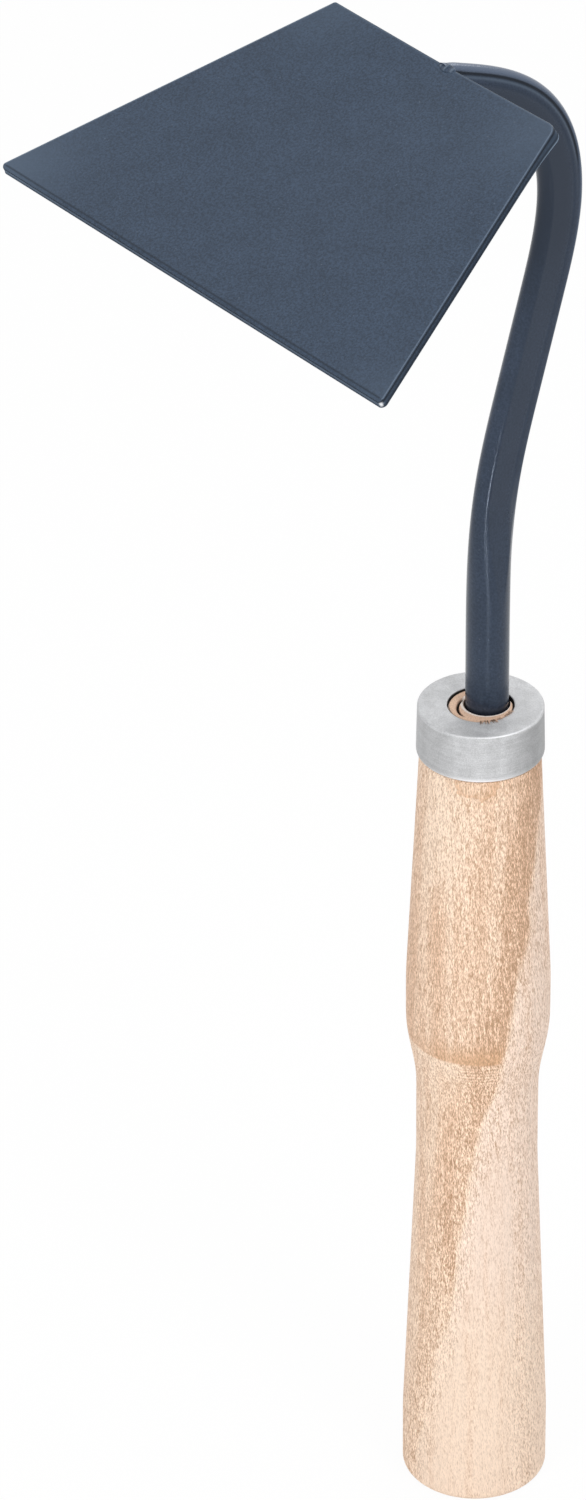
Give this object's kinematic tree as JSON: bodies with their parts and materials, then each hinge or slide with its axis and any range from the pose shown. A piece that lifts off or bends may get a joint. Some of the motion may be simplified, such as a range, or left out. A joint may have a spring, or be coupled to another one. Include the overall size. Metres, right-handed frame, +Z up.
{
  "type": "hand hoe",
  "caption": "Short handled garden hoe: a trapezoid steel blade welded to a bent steel neck, held in a turned wooden handle with a metal ferrule.",
  "frame": {"origin": "middle of the handle's flat butt face", "axes": "+Z up along the handle towards the blade, -Y the way the blade points, +X to the right of someone who looks along +Y"},
  "size_m": [0.1302, 0.1059, 0.3738],
  "materials": {
    "wood": "bare turned hardwood, pale pinkish tan with fine flecks",
    "zinc": "dull zinc plating with faint lines round it",
    "neck_paint": "satin graphite paint over forged steel",
    "blade_paint": "satin graphite blue paint with a fine mottle",
    "weld_paint": "satin graphite paint over a rippled weld"
  },
  "bodies": {
    "root": {"handle": "wood", "ferrule": "zinc", "neck": "neck_paint", "blade": "blade_paint", "weld_bead": "weld_paint"}
  },
  "joints": []
}
